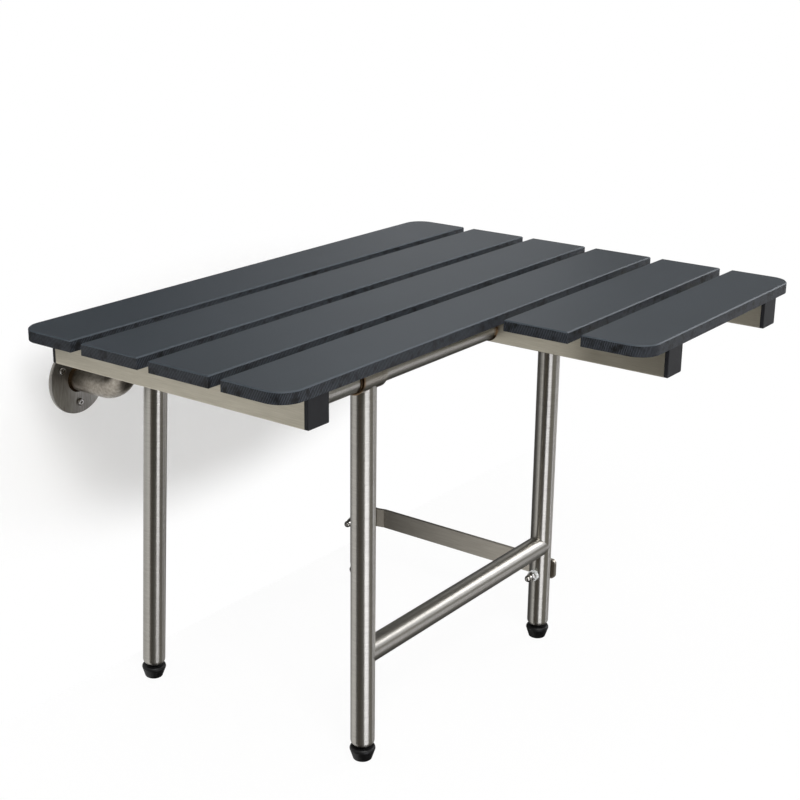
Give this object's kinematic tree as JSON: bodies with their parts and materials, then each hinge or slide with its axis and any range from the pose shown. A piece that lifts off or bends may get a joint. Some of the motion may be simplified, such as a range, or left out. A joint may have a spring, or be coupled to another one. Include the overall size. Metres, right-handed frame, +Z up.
{
  "type": "fold down wall seat",
  "caption": "L-shaped slatted wall seat on a square tube frame that folds up against the wall, with hinged round legs, a link bar and levelling feet.",
  "frame": {"origin": "centre of the left wall flange's back face, on the wall", "axes": "+X along the slats to the right as seen from the front, +Y into the wall, +Z up"},
  "size_m": [0.712, 0.6362, 0.4708],
  "materials": {
    "phenolic_board": "satin, solid dark grey phenolic board",
    "brushed_stainless": "brushed along the tube",
    "weld_metal": "weld with brown heat tint",
    "screw_steel": "bright turned steel",
    "black_plastic": "fine matt black",
    "black_rubber": "matt black",
    "white_nylon": "natural white nylon"
  },
  "bodies": {
    "wall_frame": {"wall_flange_left": "brushed_stainless", "wall_flange_right": "brushed_stainless", "wall_arm_left": "brushed_stainless", "wall_arm_right": "brushed_stainless", "arm_sleeve_left": "brushed_stainless", "arm_sleeve_right": "brushed_stainless", "flange_welds": "weld_metal", "wall_screws_left": "screw_steel", "wall_screws_right": "screw_steel"},
    "seat": {"beam_left": "brushed_stainless", "beam_middle": "brushed_stainless", "beam_right": "brushed_stainless", "cap_back_left": "black_plastic", "cap_back_middle": "black_plastic", "cap_back_right": "black_plastic", "cap_front_left": "black_plastic", "cap_front_middle": "black_plastic", "cap_front_right": "black_plastic", "rear_tube": "brushed_stainless", "front_tube": "brushed_stainless", "frame_welds": "weld_metal", "stop_beads": "weld_metal", "slat_1": "phenolic_board", "slat_2": "phenolic_board", "slat_3": "phenolic_board", "slat_4": "phenolic_board", "slat_5": "phenolic_board", "slat_6": "phenolic_board", "slat_screws": "screw_steel"},
    "front_legs": {"front_leg_left": "brushed_stainless", "front_leg_right": "brushed_stainless", "front_sleeve_left": "brushed_stainless", "front_sleeve_right": "brushed_stainless", "cross_tube": "brushed_stainless", "leg_insert_front_left": "brushed_stainless", "leg_insert_front_right": "brushed_stainless", "link_bolt_front": "screw_steel", "link_nut_front": "screw_steel", "link_washer_front": "white_nylon", "link_spacer_front": "screw_steel"},
    "link_arm": {"link_bar": "brushed_stainless"},
    "back_right_leg": {"back_leg_right": "brushed_stainless", "back_sleeve_right": "brushed_stainless", "leg_insert_back_right": "brushed_stainless", "link_bolt_back": "screw_steel", "link_nut_back": "screw_steel", "link_washer_back": "white_nylon", "link_spacer_back": "screw_steel"},
    "back_left_leg": {"back_leg_left": "brushed_stainless", "back_sleeve_left": "brushed_stainless", "leg_insert_back_left": "brushed_stainless"},
    "foot_front_left": {"foot_stud_front_left": "screw_steel", "foot_pad_front_left": "black_rubber"},
    "foot_front_right": {"foot_stud_front_right": "screw_steel", "foot_pad_front_right": "black_rubber"},
    "foot_back_right": {"foot_stud_back_right": "screw_steel", "foot_pad_back_right": "black_rubber"},
    "foot_back_left": {"foot_stud_back_left": "screw_steel", "foot_pad_back_left": "black_rubber"}
  },
  "joints": [
    {"name": "seat_fold", "type": "hinge", "parent": "wall_frame", "child": "seat", "pos_m": [0.2355, -0.0844, 0.06245], "axis": [-1, 0, 0], "range_deg": [0, 84]},
    {"name": "front_legs_swing", "type": "hinge", "parent": "seat", "child": "front_legs", "pos_m": [0.2358, -0.371, 0.06245], "axis": [-1, 0, 0], "range_deg": [-84, 0]},
    {"name": "link_bar_turn", "type": "hinge", "parent": "front_legs", "child": "link_arm", "pos_m": [0.43613, -0.371, -0.28945], "axis": [-1, 0, 0], "range_deg": [0, 84]},
    {"name": "back_right_leg_swing", "type": "hinge", "parent": "seat", "child": "back_right_leg", "pos_m": [0.4166, -0.0844, 0.06245], "axis": [-1, 0, 0], "range_deg": [-84, 0]},
    {"name": "back_left_leg_swing", "type": "hinge", "parent": "wall_frame", "child": "back_left_leg", "pos_m": [0.0448, -0.0844, 0.06245], "axis": [1, 0, 0], "range_deg": [-38, 5]},
    {"name": "foot_front_left_screw", "type": "slide", "parent": "front_legs", "child": "foot_front_left", "axis": [0, 0, -1], "range_m": [0, 0.012]},
    {"name": "foot_front_right_screw", "type": "slide", "parent": "front_legs", "child": "foot_front_right", "axis": [0, 0, -1], "range_m": [0, 0.012]},
    {"name": "foot_back_right_screw", "type": "slide", "parent": "back_right_leg", "child": "foot_back_right", "axis": [0, 0, -1], "range_m": [0, 0.012]},
    {"name": "foot_back_left_screw", "type": "slide", "parent": "back_left_leg", "child": "foot_back_left", "axis": [0, 0.0628, -0.998], "range_m": [0, 0.012]}
  ],
  "couplings": [
    {"joint": "front_legs_swing", "follows": "seat_fold", "ratio": -1},
    {"joint": "link_bar_turn", "follows": "seat_fold", "ratio": 1},
    {"joint": "back_right_leg_swing", "follows": "seat_fold", "ratio": -1}
  ]
}
